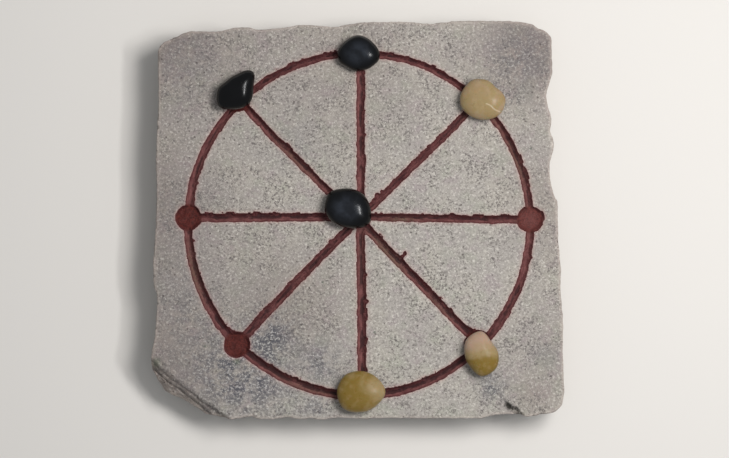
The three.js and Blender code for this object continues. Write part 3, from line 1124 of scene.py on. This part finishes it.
def black_material():
    """Polished black stone with a faint cloudy painted sheen, a painted reflection, on its crown."""
    s = Shader("black_pebble_stone")
    cloud = s.remap(s.noise(9 * MM, 3, 0.5), 0.35, 0.65, 0.4, 1.1)
    crown = s.math("MULTIPLY", s.attribute("crown"), cloud)
    colour = s.mix(crown, PEBBLE["black"], PEBBLE["black_sheen"])
    s.link(colour, s.surface.inputs["Base Color"])
    rough = s.remap(s.noise(5 * MM, 4, 0.6), 0.3, 0.7, 0.14, 0.26)
    s.link(rough, s.surface.inputs["Roughness"])
    s.set({"Specular IOR Level": 0.3})
    pits = s.remap(s.cells(6.5 * MM), 0.04, 0.11, 0, 1)
    s.bump(s.math("ADD", pits, s.math("MULTIPLY", s.noise(2 * MM, 3), 0.15)), 0.1 * MM)
    return s.material


def yellow_material():
    """Polished yellow stone that runs from pinkish cream through tan to olive."""
    s = Shader("yellow_pebble_stone")
    drift = s.remap(s.noise(15 * MM, 4, 0.5, 0.8), 0.35, 0.65, -0.13, 0.13)
    tone = s.math("ADD", s.attribute("tone"), drift)
    cloud = s.remap(s.noise(5 * MM, 4, 0.55), 0.45, 0.7)
    flecks = s.remap(s.noise(1.6 * MM, 2, 0.6), 0.62, 0.72)
    colour = s.mix(s.remap(tone, 0, 0.5), PEBBLE["cream"], PEBBLE["tan"])
    colour = s.mix(s.remap(tone, 0.5, 1), colour, PEBBLE["olive"])
    colour = s.over(colour, PEBBLE["cloud"], cloud, 0.16)
    colour = s.over(colour, PEBBLE["fleck"], flecks, 0.25)
    colour = s.over(colour, PEBBLE["crack"], s.attribute("crack"), 0.7)
    s.link(colour, s.surface.inputs["Base Color"])
    rough = s.remap(s.noise(4 * MM, 4, 0.6), 0.3, 0.7, 0.26, 0.42)
    s.link(rough, s.surface.inputs["Roughness"])
    s.set({"Subsurface Weight": 0.2, "Subsurface Scale": 3 * MM, "Specular IOR Level": 0.3})
    s.bump(s.noise(3 * MM, 3), 0.1 * MM)
    return s.material


def floor_material():
    s = Shader("studio_floor")
    s.set({"Base Color": FLOOR_COLOUR, "Roughness": 0.9})
    return s.material


# ---------------------------------------------------------------- assembly

def from_middle(piece, node):
    """A piece's vertices, measured from the middle of the CAD node it replaces."""
    low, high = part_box(node)
    return np.array([v.co for v in piece.data.vertices]) - np.array((low + high) / 2)


def crack_line(places):
    """1 on the healed crack, fading to 0 beside it and on the pebble's lower half."""
    start, end = CRACK_ENDS
    along = np.clip((places[:, :2] - start) @ (end - start) / np.sum((end - start) ** 2), 0, 1)
    bend = CRACK_BEND * np.sin(along * 7)
    foot = start + along[:, None] * (end - start) + np.column_stack([bend, bend])
    away = np.linalg.norm(places[:, :2] - foot, axis=1)
    return np.exp(-((away / CRACK_HALF_WIDTH) ** 2)) * (places[:, 2] > 0)


def mark_yellow_pebble(piece, node):
    """How the colour runs across the pebble, and where it is cracked."""
    places = from_middle(piece, node)
    start, end, way = TONES[node]
    heading = np.array((math.cos(math.radians(way)), math.sin(math.radians(way))))
    across = places[:, :2] @ heading
    share = (across - across.min()) / (across.max() - across.min())
    crack = crack_line(places) if node == CRACKED_PEBBLE else np.zeros(len(places))
    set_float_attribute(piece, "tone", start + (end - start) * share)
    set_float_attribute(piece, "crack", crack)


def mark_black_pebble(piece, node):
    """The crown: a painted sheen, a painted reflection, over the top of the pebble that dies away
    towards its black rim.
    """
    low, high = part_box(node)
    half = np.array((high - low) / 2)
    places = from_middle(piece, node)
    off_middle = np.linalg.norm(places[:, :2] / half[:2], axis=1)
    crown = (1 - smoothstep(off_middle, 0.15, 0.95)) * (places[:, 2] > 0)
    set_float_attribute(piece, "crown", CROWNS[node] * crown)


def finish_piece(piece, body, node, material):
    piece.data.materials.append(material)
    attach(piece, body)
    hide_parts(node)


def make_floor():
    """A wide round floor just under the slab."""
    mesh = bpy.data.meshes.new("floor")
    bm = bmesh.new()
    bmesh.ops.create_circle(bm, cap_ends=True, segments=96, radius=FLOOR_RADIUS)
    bm.to_mesh(mesh)
    bm.free()
    floor = bpy.data.objects.new("floor", mesh)
    floor.data.materials.append(floor_material())
    bpy.context.scene.collection.objects.link(floor)


def make_lights():
    """A high key from the east-north-east, a broad fill overhead, and a glint on the pebbles."""
    key = area_light(
        "key", azimuth=30, elevation=66, distance=1.2, size=(0.36, 0.36), power=10, colour=LAMP_COLOUR
    )
    fill = area_light(
        "fill", azimuth=0, elevation=85, distance=2.8, size=(2.2, 2.2), power=9, colour=LAMP_COLOUR
    )
    key.visible_glossy = False
    fill.visible_glossy = False
    area_light(
        "glint", azimuth=4, elevation=58, distance=1.5, size=(0.3, 0.1), power=5, colour=GLINT_COLOUR
    )


make_camera()
make_world()
make_lights()
make_floor()

slab_look, top_mesh = make_slab()
finish_piece(slab_look, "board", "stone_slab", stone_material())
finish_piece(make_paint(top_mesh), "board", "groove_paint", paint_material())

black = black_material()
yellow = yellow_material()
for number, (body, nodes) in enumerate(frame["record"]["behaviour"]["bodies"].items()):
    if body == "board":
        continue
    node_name = nodes[0]
    look = make_pebble(node_name, 30 + number)
    if node_name in TONES:
        mark_yellow_pebble(look, node_name)
        finish_piece(look, body, node_name, yellow)
    else:
        mark_black_pebble(look, node_name)
        finish_piece(look, body, node_name, black)
